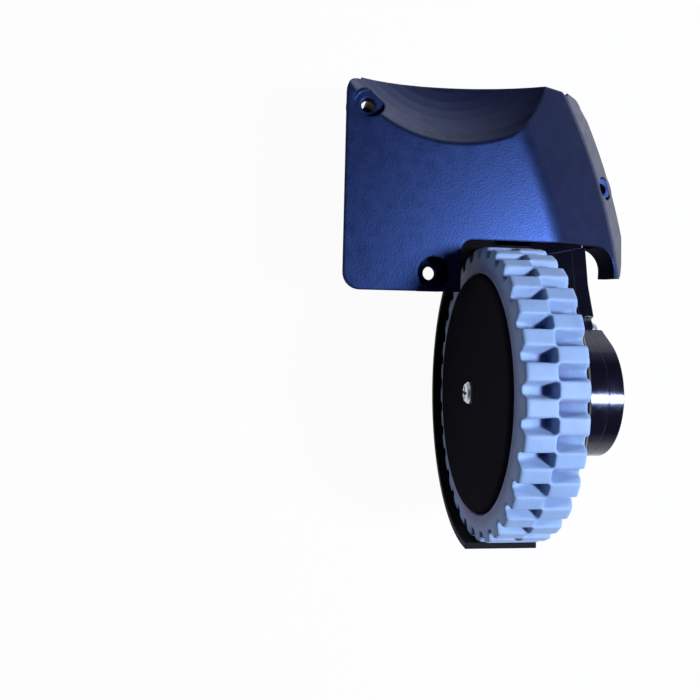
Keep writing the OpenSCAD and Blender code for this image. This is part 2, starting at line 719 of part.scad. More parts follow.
module motor_cover() {
    color("#17171B") from_axle() difference() {
        union() {
            bar(collar_y, flange_in, cover_r, pivot);
            bar(cover_end, neck_y, neck_r, pivot);
            bar(-cheek_hub_out + 0.2, cover_end + 1, trunnion_r, pivot);
            bar(cover_end - 0.4, cover_end + 1, trunnion_r + 1.4, pivot);
            block(tab_low, tab_high);
            for (at = cover_screw_places) across(flange_in - 2, flange_in) strap(pivot, 8, at, cover_ear_r);
        }
        bar(neck_y, flange_in + 1, motor_r + fit_gap, pivot);
        bar(board_y, neck_y + 1, neck_r - 1, pivot);
        for (at = cover_screw_places) bar(flange_in - 3, flange_in + 1, small_screw_r + fit_gap, at);
        for (at = board_screw_places) bar(board_y - 1.1, board_y + 1, small_screw_r, at);
        block([pivot[0] - 3.4, board_y + 0.6, pivot[1] - neck_r - 1],
              [pivot[0] + 3.4, board_y + 3.6, pivot[1] - neck_r + 3]);
    }
}
module motor_cover_screws() {
    color("#C9CCD2") from_axle() for (at = cover_screw_places)
        mirror([0, 1, 0]) screw_out(at, 2 - flange_in, small_screw_r, 3.2, cover_head_r, 0.9);
}
module board_screws() {
    color("#C9CCD2") from_axle() for (at = board_screw_places)
        screw_out(at, board_y + 1, small_screw_r, 2, 1.3, 0.6);
}

// Cover plate

plate_z = -plate_drop;
slope_angle = atan(ridge_drop / (ridge_r - bend_r));
bend_blend = 12;
bend_t = bend_blend * tan(slope_angle / 2);

// Profile of the plate's face as [radius, height], from the flat to the edge
edge_z = plate_z - flange_drop;
below_z = -30;
flange_angle = atan2(flange_drop - ridge_drop, flange_edge_r - ridge_r);
ridge_at = [ridge_r, plate_z - ridge_drop];
plate_face = concat(
    arc([bend_r - bend_t, plate_z - bend_blend], bend_blend, 90, 90 - slope_angle, 6),
    [on_ray(ridge_at, 180 - slope_angle, 0.6), on_ray(ridge_at, -flange_angle, 0.6),
     ridge_at + 1.25 * ([flange_edge_r, edge_z] - ridge_at)]);
module around_robot() {
    translate([0, -robot_half_track, 0]) children();
}
module plate_body() {
    around_robot() rotate_extrude($fn = 200)
        polygon(concat([[60, plate_z]], plate_face, [[flange_edge_r + 2, below_z], [60, below_z]]));
}
// The space under the plate, a wall's thickness below its face
mitre = (slope_angle + flange_angle) / 2;
ridge_inside = ridge_at
    - plate_wall / cos(flange_angle - mitre) * [sin(mitre), cos(mitre)];
module plate_hollow() {
    drop = flange_drop - ridge_drop;
    edge_in = ridge_inside + [drop / tan(flange_angle), -drop];
    around_robot() rotate_extrude($fn = 200)
        polygon(concat([[58, plate_z - plate_wall]],
            arc([bend_r - bend_t, plate_z - bend_blend], bend_blend - plate_wall, 90, 90 - slope_angle, 4),
            [ridge_inside, [edge_in[0] + (edge_in[1] - edge_z) / tan(flange_angle), edge_z],
             [flange_edge_r + 4, edge_z], [flange_edge_r + 4, below_z - 2], [58, below_z - 2]]));
}

slot_end_r = 2.4;
hook_front = 27.3;
hook_wall_t = 1.6;
gap_r = 6;
gap_at = [-cutout_back + gap_r, 25.1];
module plate_outline() {
    difference() {
        intersection() {
            union() {
                translate([rear_edge_r - plate_rear, -8]) circle(rear_edge_r, $fn = 400);
                translate([0.7 - plate_rear, 18]) square([10, 12]);
            }
            translate([0, -robot_half_track]) circle(flange_edge_r + 3, $fn = 200);
            union() {
                translate([-80, -plate_hub_edge + 4]) square([80 - ear_front, 90]);
                translate([-80 , -plate_hub_edge]) square([80 - ear_front - 4, 5]);
                translate([-ear_front - 4, -plate_hub_edge + 4]) circle(4);
            }
        }
        // Rounded corner at the hub side of the rear edge
        polygon(concat([[-80, -40], [-66, -40], [-66, -plate_hub_edge]],
            arc([-67.3, -plate_hub_edge + 3.6], 3.6, 270, 180, 6), [[-80, -plate_hub_edge + 3.6]]));
        // Small step between the rear edge and the side flange, and the flange's corner
        translate([-plate_rear + 0.6, 16.9]) circle(1.1);
        polygon(concat([[-80, 21.4]], arc([3.2 - plate_rear, 21.4], 2.5, 180, 95, 5), [[-60, 34], [-80, 34]]));
        // Cut-out for the wheel, with the slot beside the ear
        translate([-cutout_back, -ear_inner + slot_end_r]) square([80, ear_inner - slot_end_r + gap_at[1]]);
        translate([-cutout_back + slot_end_r, -ear_inner]) square([80, slot_end_r + 1]);
        translate([-cutout_back + slot_end_r, -ear_inner + slot_end_r]) circle(slot_end_r);
        // Rounded corner of the cut-out at the hook, and the hook's inner edge
        translate(gap_at) circle(gap_r);
        translate([gap_at[0], 20]) square([80, gap_at[1] + gap_r - 20]);
        // Front end of the hook, and the slant of its outer edge
        translate([-hook_front, 20]) square([30, 40]);
        polygon([[-hook_front, 33], [-28.1, 34], [-31.2, 35.4], [-34.9, 36.3], [-41, 37.9],
                 [-41, 60], [-20, 60], [-20, 33]]);
    }
}
// Walls along the hook's inner and front edges
module hook_walls() {
    intersection() {
        translate([-cutout_back - 2, gap_at[1] + 1.4]) square([12, 12]);
        union() {
            translate(gap_at) circle(gap_r + hook_wall_t);
            translate([gap_at[0], 20]) square([8, gap_at[1] + gap_r + hook_wall_t - 20]);
            translate([-hook_front - hook_wall_t, 20]) square([8, 20]);
        }
    }
}

// Finger scoop at the rear edge, as a turned cutter with a soft lip
scoop_at = [-89.3, -11];
scoop_up = 18.7;
scoop_r = 39.6;
scoop_lip = 2;
module scoop() {
    // The lip's round runs out a little above the flat, so that it leaves a fine edge
    top = plate_z + 0.04;
    rise = scoop_up - top + scoop_lip;
    lip_r = sqrt(pow(scoop_r + scoop_lip, 2) - rise * rise);
    lean = atan2(rise, lip_r);
    translate([scoop_at[0], scoop_at[1], 0]) rotate_extrude($fn = 160)
        polygon(concat([[0, top + 30], [0, scoop_up - scoop_r]],
            arc([0, scoop_up], scoop_r, -90, -lean, 12),
            arc([lip_r, top - scoop_lip], scoop_lip, 180 - lean, 90, 5),
            [[lip_r + 1.5, top], [lip_r + 1.5, top + 30]]));
}

// Fixing screws, each with its seat's height and its counterbore's radius
fixings = [
    [-front_screw_back, -front_screw_side, -seat_drop, counterbore_r],
    [-rear_screw_back, -rear_screw_side, -seat_drop, counterbore_r],
    [-side_screw_back, side_screw_side, -seat_drop - side_seat_drop, side_counterbore_r]
];
bracket_screw_r = 1;
bracket_head_r = 1.9;
bracket_screw_len = 3.7;
tab_r = 2.5;
// Screws of the bracket, each with the height of the plate's boss that it draws the bracket to
bracket_screw_places = [[-57, -32.9, tab_z], [-64.6, 13.5, tab_z], [-29.5, -26.2, tab_z + 1.5]];
rib_t = 1.2;
bump_at = [-41.5, 11];
bump_seat = plate_z - 3.7;
module plate_bosses() {
    for (f = fixings) post(f, f[2] - fixing_len, 10, f[3] + boss_wall);
    for (p = bracket_screw_places) post(p, p[2], 10, tab_r + 0.1);
    post(bump_at, bump_seat, 10, 3);
    block([-60, -plate_hub_edge + 5, plate_z - 5], [-ear_front - 5, -plate_hub_edge + 5 + rib_t, 10]);
    block([-cutout_back - 1.2 - rib_t, -ear_inner - 2, plate_z - 4.4], [-cutout_back - 1.2, 20, 10]);
    translate([0, 0, edge_z + 0.6]) linear_extrude(30) hook_walls();
}
module cover_plate() {
    color("#26315F") from_axle() difference() {
        intersection() {
            plate_body();
            translate([0, 0, below_z - 1]) linear_extrude(60) plate_outline();
        }
        difference() {
            plate_hollow();
            plate_bosses();
            translate([scoop_at[0], scoop_at[1], scoop_up]) sphere(scoop_r + plate_wall, $fn = 120);
        }
        scoop();
        for (f = fixings) {
            post(f, f[2], f[2] + 30, f[3]);
            post(f, f[2] - fixing_len - 1, f[2] + 1, fixing_r);
        }
        for (p = bracket_screw_places) post(p, p[2] - 1, p[2] + bracket_screw_len + 0.3, bracket_screw_r);
    }
}

// Suspension bracket

cheek_in = case_end + 0.6;
cheek_out = cheek_in + cheek_t;
feet_z = -feet_drop;
wall_back = -69.5;
bracket_top = edge_z - 0.3;
wall_t = 2;
eye_wall = 1.4;
module cheek(y0, y1, front, top_front) {
    across(y0, y1) {
        polygon([[wall_back, feet_z], [-64, feet_z], [-61, feet_z + 3], [front - 8, feet_z + 3],
            [front - 5, feet_z], [front, feet_z], [front, top_front], [-43, top_front],
            [-57, bracket_top], [wall_back, bracket_top]]);
        translate(pivot) circle(bush_r + eye_wall);
    }
}
// Tab under a bracket screw, with a bar that joins it to the bracket
module bracket_tab(p, low, high) {
    post(p, p[2] - tab_t, p[2], tab_r);
    block([low[0], low[1], p[2] - tab_t], [high[0], high[1], p[2]]);
}
module suspension_bracket() {
    hub = bracket_screw_places[0];
    side = bracket_screw_places[1];
    ear = bracket_screw_places[2];
    color("#1B1B1F") from_axle() difference() {
        union() {
            cheek(cheek_in, cheek_out, -38.5, -22.5);
            cheek(-cheek_hub_out, -cheek_hub_in, -24.5, ear[2] - tab_t);
            block([wall_back, -cheek_hub_out, feet_z], [wall_back + wall_t, cheek_out, bracket_top]);
            bracket_tab(hub, [hub[0] - tab_r, hub[1]], [hub[0] + tab_r, -cheek_hub_in]);
            block([hub[0] - tab_r, -cheek_hub_out, -22], [hub[0] + tab_r, -cheek_hub_in, tab_z]);
            bracket_tab(side, [wall_back, side[1] - tab_r], [side[0], side[1] + tab_r]);
            block([wall_back, side[1] - tab_r, -22], [wall_back + wall_t, side[1] + tab_r, tab_z]);
            bracket_tab(ear, [ear[0] - tab_r, -cheek_hub_out], [ear[0] + tab_r, ear[1]]);
            // Stop for the spring's fixed leg
            block([leg_x - spring_wire_r - 1.9, -cheek_hub_in - tiny, pivot[1] - 8.5],
                  [leg_x - spring_wire_r - 0.05, spring_y + spring_wire_r, pivot[1] - 5]);
            for (at = switch_pegs) bar(-cheek_hub_in - tiny, -cheek_hub_in + 5, peg_r, at);
        }
        for (p = bracket_screw_places) post(p, -30, 0, bracket_screw_r + 0.2);
        // Room under the rear fixing hole for the screw and its post
        post(fixings[1], bracket_top - 7, 0, 4.5);
        bar(-cheek_hub_out - 1, -cheek_hub_in + 1, bush_r, pivot);
        bar(cheek_in - 1, cheek_out + 1, bush_r, pivot);
    }
}
module bracket_screws() {
    color("#C9CCD2") from_axle() for (p = bracket_screw_places)
        translate([p[0], p[1], p[2] - tab_t]) rotate([180, 0, 0])
            pan_screw(bracket_screw_r, tab_t + bracket_screw_len, bracket_head_r, 1.4);
}
module bush(y0, y1) {
    turned(pivot) translate([trunnion_r + trunnion_clearance, y0])
        square([bush_r - trunnion_r - trunnion_clearance, y1 - y0]);
}
module swing_bushes() {
    color("#C9A24B") from_axle() {
        bush(cheek_in, cheek_out);
        bush(-cheek_hub_out, -cheek_hub_in);
    }
}
module bump_stop() {
    color("#2A2A2C") from_axle() post(bump_at, bump_seat - 1.8, bump_seat, 2.6);
}

// Drop switch

peg_r = 0.95;
hinge_r = 0.5;
switch_pegs = [for (x = [3, 9.5]) [switch_low[0] + x, switch_low[2] + 4.6]];
module drop_switch() {
    color("#2B2B30") from_axle() difference() {
        union() {
            block(switch_low, switch_low + switch_size);
            block([lever_hinge[0] - 0.3, switch_low[1], lever_hinge[1] - 0.9],
                  [lever_hinge[0] + 1, switch_low[1] + switch_size[1], switch_low[2] + 1]);
        }
        bar(switch_low[1] - 1, switch_low[1] + switch_size[1] + 1, hinge_r + pin_clearance, lever_hinge);
        for (at = switch_pegs) bar(switch_low[1] - 1, switch_low[1] + switch_size[1] + 1, peg_r + pin_clearance, at);
    }
}
module drop_switch_lever() {
    color("#BFC3C9") from_axle() union() {
        bar(switch_low[1] + 0.6, switch_low[1] + 5.2, hinge_r, lever_hinge);
        across(switch_low[1] + 0.6, switch_low[1] + 5.2)
            polygon([lever_hinge + [0, -0.25], lever_hinge + [0, 0.15], lever_hinge + [-12.6, -0.4],
                     lever_hinge + [-12.6, -0.8]]);
    }
}

// Torsion spring: a helix with two straight legs, swept as one tube
spring_y = cover_end + 0.2 + spring_wire_r;
spring_pitch = spring_wire_r * 2.1;
spring_steps = 16;
leg_x = pivot[0] - spring_r;
spring_path = concat(
    [[leg_x, spring_y, pivot[1] - 9.5], [leg_x, spring_y, pivot[1] - 4]],
    [for (i = [0 : round(spring_turns * spring_steps)])
        let (a = 180 - 360 * i / spring_steps)
        [pivot[0] + spring_r * cos(a), spring_y + spring_pitch * i / spring_steps,
         pivot[1] + spring_r * sin(a)]],
    [[pivot[0] + spring_r, spring_y + spring_pitch * spring_turns, pivot[1] - 3],
     [pivot[0] + spring_r, spring_y + spring_pitch * spring_turns, pivot[1] - 7]]);
function ring(p, d, r, sides) =
    let (u = d / norm(d), v = [0, 1, 0] - (u * [0, 1, 0]) * u, e = v / norm(v), w = cross(u, e))
    [for (k = [0 : sides - 1]) p + r * (cos(360 * k / sides) * e + sin(360 * k / sides) * w)];
module tube(path, r, sides = 8) {
    n = len(path);
    points = [for (i = [0 : n - 1]) each ring(path[i],
        path[min(i + 1, n - 1)] - path[max(i - 1, 0)], r, sides)];
    polyhedron(points, concat([[for (k = [0 : sides - 1]) k]],
        [for (i = [0 : n - 2], k = [0 : sides - 1])
            [i * sides + k, (i + 1) * sides + k,
             (i + 1) * sides + (k + 1) % sides, i * sides + (k + 1) % sides]],
        [[for (k = [sides - 1 : -1 : 0]) (n - 1) * sides + k]]));
}
module torsion_spring() {
    color("#A7ABB2") from_axle() tube(spring_path, spring_wire_r);
}

cover_plate();
suspension_bracket();
bracket_screws();
swing_bushes();
torsion_spring();
bump_stop();
drop_switch();
drop_switch_lever();
gear_case();
gear_case_cover();
case_screws();
wheel_arch();
arch_screws();
motor_cover();
motor_cover_screws();
motor_can();
motor_magnets();
motor_armature();
motor_end_cap();
motor_terminals();
motor_screws();
motor_shaft();
motor_pinion();
encoder_magnet();
encoder_board();
board_screws();
encoder_socket();
idler_gear();
reduction_gear_one();
reduction_gear_two();
gear_pins();
output_gear();
axle();
inner_bearing();
outer_bearing();
axle_clip();
wheel_rim();
tyre();
hub_cap();
hub_screw();
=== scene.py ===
# %% [markdown]
# # A drive wheel module, dressed for the camera
# The imported model holds every piece of the module as a solid: the blue cover
# plate, the lugged tyre, the gear case, and all that hides inside them. This
# script leaves the solids where they are. It gives each its finish, with painted
# shade on the plate's walls and deep in the tyre, rounds the rubber as a mould
# would, adds one thin dark web as painted shade, and sets up a small studio with
# one lamp.

# %% Load the frame
import math

import bmesh
import bpy
from mathutils import Matrix, Vector


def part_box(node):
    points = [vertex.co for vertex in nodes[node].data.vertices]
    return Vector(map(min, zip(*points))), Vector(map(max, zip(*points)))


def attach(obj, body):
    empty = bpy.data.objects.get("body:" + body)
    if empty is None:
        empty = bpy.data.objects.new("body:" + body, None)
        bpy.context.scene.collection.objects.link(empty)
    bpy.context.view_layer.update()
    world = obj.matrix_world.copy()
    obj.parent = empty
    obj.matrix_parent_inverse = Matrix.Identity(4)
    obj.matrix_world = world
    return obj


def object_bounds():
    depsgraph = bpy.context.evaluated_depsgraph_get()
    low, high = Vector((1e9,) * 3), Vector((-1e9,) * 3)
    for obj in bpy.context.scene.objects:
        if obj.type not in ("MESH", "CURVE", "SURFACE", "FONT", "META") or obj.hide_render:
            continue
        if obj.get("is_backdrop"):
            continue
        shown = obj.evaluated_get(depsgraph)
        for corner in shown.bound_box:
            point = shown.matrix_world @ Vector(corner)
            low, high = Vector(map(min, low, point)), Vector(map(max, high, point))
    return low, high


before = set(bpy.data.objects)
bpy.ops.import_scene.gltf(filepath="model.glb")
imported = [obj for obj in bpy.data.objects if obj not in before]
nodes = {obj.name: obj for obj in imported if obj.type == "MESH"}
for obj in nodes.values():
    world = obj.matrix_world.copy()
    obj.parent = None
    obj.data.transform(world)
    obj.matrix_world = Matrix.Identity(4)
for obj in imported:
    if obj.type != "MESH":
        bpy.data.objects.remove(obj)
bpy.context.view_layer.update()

MM = 0.001
packed_materials = len(bpy.data.materials)

# %% [markdown]
# ## The camera
# The photograph looks down on the module from about 16 cm above the plate,
# close enough that the near side of the tyre looms larger than the far one.
# Its place was worked out from where the holes, the hub and the corners of the
# plate fall in the picture. The camera's own right, up and back directions are
# given as three rows.

# %% Place the camera
CAMERA_AT = Vector((6.2, -34.9, 160.0)) * MM
CAMERA_RIGHT = (-0.02535, 0.99452, 0.10147)
CAMERA_UP = (-0.99671, -0.01733, -0.07915)
CAMERA_BACK = (-0.07696, -0.10314, 0.99168)

camera_data = bpy.data.cameras.new("studio_camera")
camera_data.lens = 34.94
camera_data.sensor_width = 36
camera_data.clip_start = 5 * MM
camera_data.clip_end = 20
camera = bpy.data.objects.new("studio_camera", camera_data)
turn = Matrix((CAMERA_RIGHT, CAMERA_UP, CAMERA_BACK)).transposed().to_4x4()
camera.matrix_world = Matrix.Translation(CAMERA_AT) @ turn
bpy.context.scene.collection.objects.link(camera)
bpy.context.scene.camera = camera

# %% [markdown]
# ## Helpers for materials
# Colours are written as the hex values that a picture editor shows, and
# Blender wants them linear, so one function turns them. Another adds one
# shader node with its settings and links, and every material below is built
# with it. Three short ones start a material, end it, and turn a size in
# millimetres into a texture's scale.

# %% Colour and node helpers
def linear(hex_colour):
    """Turns an sRGB hex value into linear red, green, blue and alpha."""
    parts = [int(hex_colour[i:i + 2], 16) / 255 for i in (1, 3, 5)]
    return [c / 12.92 if c <= 0.04045 else ((c + 0.055) / 1.055) ** 2.4 for c in parts] + [1.0]


def add(tree, kind, inputs=None, **settings):
    """Adds a node. An input is given as a value, or as the socket that feeds it."""
    node = tree.nodes.new(kind)
    for name, value in settings.items():
        setattr(node, name, value)
    for name, value in (inputs or {}).items():
        if isinstance(value, bpy.types.NodeSocket):
            tree.links.new(value, node.inputs[name])
        else:
            node.inputs[name].default_value = value
    return node


def start_material(name):
    """An empty material, its tree, and coordinates that follow the piece in metres."""
    material = bpy.data.materials.new(name)
    material.use_nodes = True
    tree = material.node_tree
    tree.nodes.clear()
    place = add(tree, "ShaderNodeTexCoord").outputs["Object"]
    return material, tree, place


def close_material(tree, surface_inputs):
    """Ends a material with the surface shader and its output."""
    surface = add(tree, "ShaderNodeBsdfPrincipled", surface_inputs)
    add(tree, "ShaderNodeOutputMaterial", {"Surface": surface.outputs["BSDF"]})


def per_mm(size_mm):
    """The texture scale at which a pattern repeats every size_mm."""
    return 1 / (size_mm * MM)


# %% [markdown]
# ## Rounded and rubbed edges
# A mould leaves every edge slightly round. Blender's Bevel node gives the
# direction that such a round would face, and leaves the mesh as it is. Where
# that direction turns away from the flat one there must be an edge, and hands
# rub edges first, so the same node also says where the plastic is worn.

# %% Edge finder
def rounded_edges(tree, edge_mm):
    """The normal with its edges rounded by edge_mm, and a share that grows at each edge."""
    rounded = add(tree, "ShaderNodeBevel", {"Radius": edge_mm * MM}, samples=4)
    flat = add(tree, "ShaderNodeNewGeometry")
    likeness = add(tree, "ShaderNodeVectorMath", {0: rounded.outputs["Normal"],
                                                  1: flat.outputs["Normal"]},
                   operation="DOT_PRODUCT")
    edge = add(tree, "ShaderNodeMapRange", {"Value": likeness.outputs["Value"], "From Min": 0.995,
                                            "From Max": 0.75, "To Min": 0.0, "To Max": 0.5})
    return rounded.outputs["Normal"], edge.outputs["Result"]


# %% [markdown]
# ## Walls in painted shade
# The plate's upright walls get a matt, dark skin, so they hardly shine and look
# almost black: this is painted shade. A wall is known by its normal, which
# points up only a little. The outer flange leans towards +Y, where the lamp
# stands. It is upright too, but it keeps the glossy skin, so a share of the
# normal's Y is added before walls and faces are told apart. Faces that turn
# away from the lamp therefore get more of the painted shade.

# %% Matt walls as painted shade
LAMP_SIDE_SHARE = 0.6
FACE_LEAN, WALL_LEAN = 0.88, 0.35


def painted_shade_walls(tree, skin, rounded, colour):
    """Ends a material that is the given skin on faces, and matt and dark on walls as painted
    shade.
    """
    face = add(tree, "ShaderNodeBsdfPrincipled", skin)
    matt = add(tree, "ShaderNodeBsdfPrincipled", {"Base Color": linear(colour), "Roughness": 0.8,
                                                  "Specular IOR Level": 0.03,
                                                  "Normal": skin["Normal"]})
    up = add(tree, "ShaderNodeSeparateXYZ", {"Vector": rounded})
    # Upright walls, and faces turned away from the lamp on +Y, get the dark matt skin: painted
    # shade.
    lean = add(tree, "ShaderNodeMath", {0: up.outputs["Y"], 1: LAMP_SIDE_SHARE, 2: up.outputs["Z"]},
               operation="MULTIPLY_ADD")
    wall_shade_share = add(tree, "ShaderNodeMapRange", {"Value": lean.outputs["Value"], "From Min": FACE_LEAN,
                                             "From Max": WALL_LEAN, "To Min": 0.0, "To Max": 1.0})
    both = add(tree, "ShaderNodeMixShader", {0: wall_shade_share.outputs["Result"],
                                             1: face.outputs["BSDF"], 2: matt.outputs["BSDF"]})
    add(tree, "ShaderNodeOutputMaterial", {"Surface": both.outputs["Shader"]})


# %% [markdown]
# ## Moulded skin
# Injection-moulded plastic copies the steel of its mould. Spark-eroded steel
# leaves a fine pebble grain, about a third of a millimetre across, and
# polished steel leaves almost none. Edges are a little paler where hands have
# rubbed them, and dust and thumb marks change tone and gloss slowly, over
# millimetres and centimetres.

# %% Moulded finish
CLOUD_MM = 14
SMEAR_MM = 3


def moulded(name, body, worn, grain_mm, grain_depth_mm, roughness, edge_mm=0.35, shine=0.5,
            shine_tint="#FFFFFF", ior=1.53, walls=None):
    """A plastic with a pebble grain. Given walls, upright faces and faces turned from the lamp get
    that colour, matt, as painted shade.
    """
    material, tree, place = start_material(name)
    pebbles = add(tree, "ShaderNodeTexVoronoi", {"Vector": place, "Scale": per_mm(grain_mm),
                                                 "Smoothness": 1.0}, feature="SMOOTH_F1")
    clouds = add(tree, "ShaderNodeTexNoise", {"Vector": place, "Scale": per_mm(CLOUD_MM),
                                              "Detail": 5.0, "Roughness": 0.6})
    smears = add(tree, "ShaderNodeTexNoise", {"Vector": place, "Scale": per_mm(SMEAR_MM),
                                              "Detail": 6.0, "Roughness": 0.7})
    rounded, edge = rounded_edges(tree, edge_mm)
    rubbed = add(tree, "ShaderNodeMath", {0: edge, 1: smears.outputs["Fac"]},
                 operation="MULTIPLY")
    shade = add(tree, "ShaderNodeMapRange", {"Value": clouds.outputs["Fac"], "From Min": 0.35,
                                             "From Max": 0.65, "To Min": 0.0, "To Max": 0.22})
    tone = add(tree, "ShaderNodeMath", {0: rubbed.outputs["Value"], 1: shade.outputs["Result"]},
               operation="ADD", use_clamp=True)
    colour = add(tree, "ShaderNodeMix", {"Factor": tone.outputs["Value"], "A": linear(body),
                                         "B": linear(worn)}, data_type="RGBA")
    gloss = add(tree, "ShaderNodeMapRange", {"Value": smears.outputs["Fac"], "From Min": 0.3,
                                             "From Max": 0.7, "To Min": roughness - 0.05,
                                             "To Max": roughness + 0.06})
    bump = add(tree, "ShaderNodeBump", {"Height": pebbles.outputs["Distance"], "Strength": 1.0,
                                        "Distance": grain_depth_mm * MM, "Normal": rounded})
    skin = {"Base Color": colour.outputs["Result"], "Roughness": gloss.outputs["Result"],
            "IOR": ior, "Specular IOR Level": shine, "Specular Tint": linear(shine_tint),
            "Normal": bump.outputs["Normal"]}
    if walls is None:
        close_material(tree, skin)
    else:
        painted_shade_walls(tree, skin, rounded, walls)
    return material


# %% [markdown]
# ## The part's plastics
# The plate is grained ABS with a metallic blue pigment: its body is nearly
# black, and its sheen is blue, so the reflection is tinted. The gear case is
# polished ABS and gives small sharp highlights. The arch and the motor housing
# are matt ABS, and the hub cap is the dullest of all. The bracket is nylon
# with glass in it, the switch is PBT, and both stay dark and even. Gears are
# milky acetal with a waxy gloss, and small inner pieces are natural nylon.

# %% Make the plastics
# The walls colour paints shade on the plate's upright walls and on faces turned from the lamp.
plate_abs = moulded("plate_grained_abs", "#0D0E20", "#171B36", 0.32, 0.016, 0.38,
                    edge_mm=0.8, shine=1.0, shine_tint="#6A92F2", ior=1.6, walls="#14172C")
case_abs = moulded("case_polished_abs", "#0B0A12", "#1D1B2C", 0.8, 0.002, 0.16,
                   shine_tint="#C9D2FF")
shell_abs = moulded("shell_matt_abs", "#17171B", "#26262C", 0.5, 0.01, 0.6, shine=0.05)
bracket_nylon = moulded("bracket_glass_nylon", "#101115", "#24252C", 0.5, 0.012, 0.55, shine=0.3)
cap_abs = moulded("cap_dull_abs", "#2E292B", "#353032", 0.5, 0.006, 0.8, shine=0.0)
switch_pbt = moulded("switch_moulded_pbt", "#17181C", "#2C2D33", 0.4, 0.006, 0.45, edge_mm=0.15)
nylon = moulded("natural_nylon", "#DCD7C6", "#EFECE2", 0.5, 0.004, 0.38, edge_mm=0.15)
acetal = moulded("gear_acetal", "#E3DFD2", "#F3F1EA", 0.6, 0.003, 0.32, edge_mm=0.08)
print("plastics", len(bpy.data.materials) - packed_materials)

# %% [markdown]
# ## Rubber
# The tyre is moulded from a grey-blue thermoplastic rubber. Rubber takes a
# duller skin than ABS, scatters light widely, and picks up dust. The lugs are
# pale, and the rubber deeper down, in the grooves and on the side wall nearer
# the hub, is darker and more purple: that darkening is painted shade.
# The change lies between two depths below the tread.

# %% Tyre rubber and stop rubber
tyre_low, tyre_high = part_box("tyre")
HUB = (tyre_low + tyre_high) / 2
TREAD_R = (tyre_high.x - tyre_low.x) / 2 / MM
GROOVE_SHADE_FROM_DEPTH, GROOVE_SHADE_TO_DEPTH = 4.6, 2.6
GRIT_MM, GRIT_DEPTH_MM, BLOTCH_MM = 0.5, 0.02, 6


def pressed_matt(name, body, pale, tread_r_mm=None):
    """A dull pressed skin. Given the tread's radius, it is darker deeper below the tread, as
    painted shade.
    """
    material, tree, place = start_material(name)
    grit = add(tree, "ShaderNodeTexNoise", {"Vector": place, "Scale": per_mm(GRIT_MM),
                                            "Detail": 8.0, "Roughness": 0.65})
    blotch = add(tree, "ShaderNodeTexNoise", {"Vector": place, "Scale": per_mm(BLOTCH_MM),
                                              "Detail": 4.0, "Roughness": 0.6})
    tone = add(tree, "ShaderNodeMapRange", {"Value": blotch.outputs["Fac"], "From Min": 0.3,
                                            "From Max": 0.7, "To Min": 0.0, "To Max": 0.3})
    amount = tone.outputs["Result"]
    if tread_r_mm:
        # How far a point lies from the axle's line
        hub = add(tree, "ShaderNodeVectorMath", {0: place, 1: tuple(HUB)}, operation="SUBTRACT")
        flat_ring = add(tree, "ShaderNodeVectorMath", {0: hub.outputs["Vector"], 1: (1, 0, 1)},
                        operation="MULTIPLY")
        reach = add(tree, "ShaderNodeVectorMath", {0: flat_ring.outputs["Vector"]},
                    operation="LENGTH")
        # Deep rubber, in the grooves and on the side wall, keeps the darker colour: painted shade.
        top = add(tree, "ShaderNodeMapRange", {"Value": reach.outputs["Value"],
                                               "From Min": (tread_r_mm - GROOVE_SHADE_FROM_DEPTH) * MM,
                                               "From Max": (tread_r_mm - GROOVE_SHADE_TO_DEPTH) * MM,
                                               "To Min": 0.0, "To Max": 0.8})
        summed = add(tree, "ShaderNodeMath", {0: tone.outputs["Result"], 1: top.outputs["Result"]},
                     operation="ADD", use_clamp=True)
        amount = summed.outputs["Value"]
    colour = add(tree, "ShaderNodeMix", {"Factor": amount, "A": linear(body),
                                         "B": linear(pale)}, data_type="RGBA")
    bump = add(tree, "ShaderNodeBump", {"Height": grit.outputs["Fac"], "Strength": 1.0,
                                        "Distance": GRIT_DEPTH_MM * MM})
    close_material(tree, {"Base Color": colour.outputs["Result"], "Roughness": 0.6, "IOR": 1.5,
                          "Sheen Weight": 0.15, "Sheen Roughness": 0.5,
                          "Normal": bump.outputs["Normal"]})
    return material


# The darker colour is painted shade deep in the grooves and on the side wall; the paler one is the
# lugs.
tyre_rubber = pressed_matt("tyre_thermoplastic_rubber", "#5E5C90", "#8CA8CC", TREAD_R)
stop_rubber = pressed_matt("stop_moulded_rubber", "#161618", "#2C2C30")
print("tread radius in mm", round(TREAD_R, 1))

# %% [markdown]
# ## Metals
# Screws are zinc-plated steel: pale, with a faint blue cast and a soft,
# slightly uneven gloss. The axle and pins are ground bright. Brass and bronze
# are turned, so they carry fine rings. The motor's can is drawn and plated
# sheet. Metals have no grain of their own to speak of, so most of what the
# eye reads is how their gloss varies.

# %% Metal finish
STAIN_MM = 4
LINE_DEPTH_MM = 0.004


